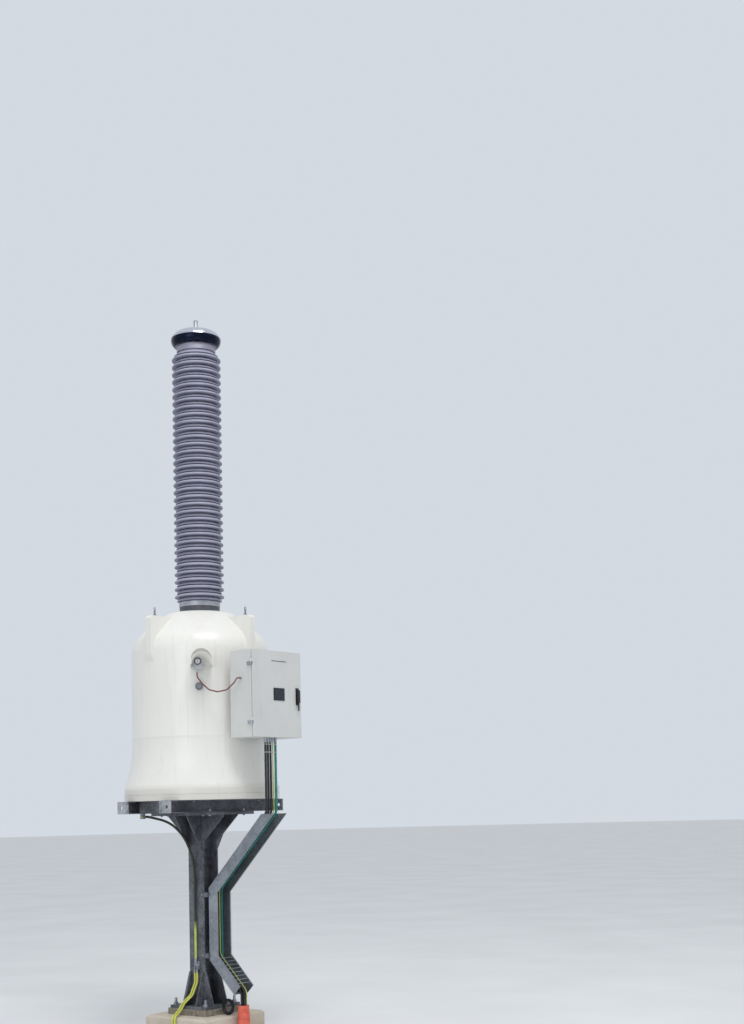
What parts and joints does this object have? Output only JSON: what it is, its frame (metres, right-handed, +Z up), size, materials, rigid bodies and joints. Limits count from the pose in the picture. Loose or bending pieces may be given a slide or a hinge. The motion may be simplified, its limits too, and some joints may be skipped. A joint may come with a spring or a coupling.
{
  "type": "gas-insulated voltage transformer",
  "caption": "Gas-insulated voltage transformer: round steel tank with a tall shed insulator on top, held up by a steel column on a plinth, with a terminal box, cable tray and conduit.",
  "frame": {"origin": "ground level under the middle of the column", "axes": "+Z up; +X towards the terminal box, its door and the cable tray; -Y towards the side where the earth cable runs down the column"},
  "size_m": [1.6718, 1.46, 6.55],
  "materials": {
    "concrete": "matt",
    "grout": "matt",
    "galvanised_steel": "weathered matt",
    "bright_zinc": "satin",
    "tray_zinc": "satin",
    "tank_paint": "gloss",
    "flange_paint": "satin",
    "sleeve_metal": "satin",
    "silicone": "satin",
    "head_metal": "polished",
    "gauge_case": "satin",
    "valve_metal": "satin",
    "lead_sheath": "matt",
    "box_paint": "satin",
    "board_zinc": "satin",
    "dark_pane": "gloss",
    "handle_black": "satin",
    "black_sheath": "satin",
    "teal_sheath": "satin",
    "green_yellow_sheath": "satin",
    "conduit_plastic": "satin"
  },
  "bodies": {
    "transformer": {"concrete_plinth": "concrete", "grout_pad": "grout", "base_plate": "galvanised_steel", "anchor_bolts": "bright_zinc", "support_column": "galvanised_steel", "base_gussets": "galvanised_steel", "head_gussets": "galvanised_steel", "head_plate": "galvanised_steel", "frame_beams": "galvanised_steel", "frame_channels": "galvanised_steel", "tank_base_plate": "tank_paint", "tank_skirt": "tank_paint", "tank_barrel": "tank_paint", "tank_dome": "tank_paint", "lifting_lugs": "tank_paint", "eye_bolts": "bright_zinc", "insulator_foot": "flange_paint", "insulator_sleeve": "sleeve_metal", "insulator": "silicone", "insulator_head": "head_metal", "top_cap": "head_metal", "terminal_stud": "head_metal", "gauge_visor": "tank_paint", "density_gauge": "gauge_case", "filling_valve": "valve_metal", "gauge_lead": "lead_sheath", "box_standoffs": "box_paint", "box_body": "box_paint", "terminal_board": "board_zinc", "door_hinges": "bright_zinc", "cable_glands": "bright_zinc", "black_cables": "black_sheath", "teal_cable": "teal_sheath", "bonding_wire": "green_yellow_sheath", "tray_slope": "tray_zinc", "tray_riser": "tray_zinc", "tray_foot": "tray_zinc", "tray_brackets": "galvanised_steel", "earth_cables": "green_yellow_sheath", "earth_clamps": "bright_zinc", "conduit": "conduit_plastic"},
    "door": {"box_door": "box_paint", "door_window": "dark_pane", "handle_plate": "handle_black"},
    "handle": {"door_handle": "handle_black"}
  },
  "joints": [
    {"name": "door_hinge", "type": "hinge", "parent": "transformer", "child": "door", "pos_m": [0.92, -0.3215, 2.965], "axis": [0, 0, -1], "range_deg": [0, 115]},
    {"name": "handle_pivot", "type": "hinge", "parent": "door", "child": "handle", "pos_m": [0.953, 0.257, 2.997], "axis": [-1, 0, 0], "range_deg": [0, 90]}
  ]
}
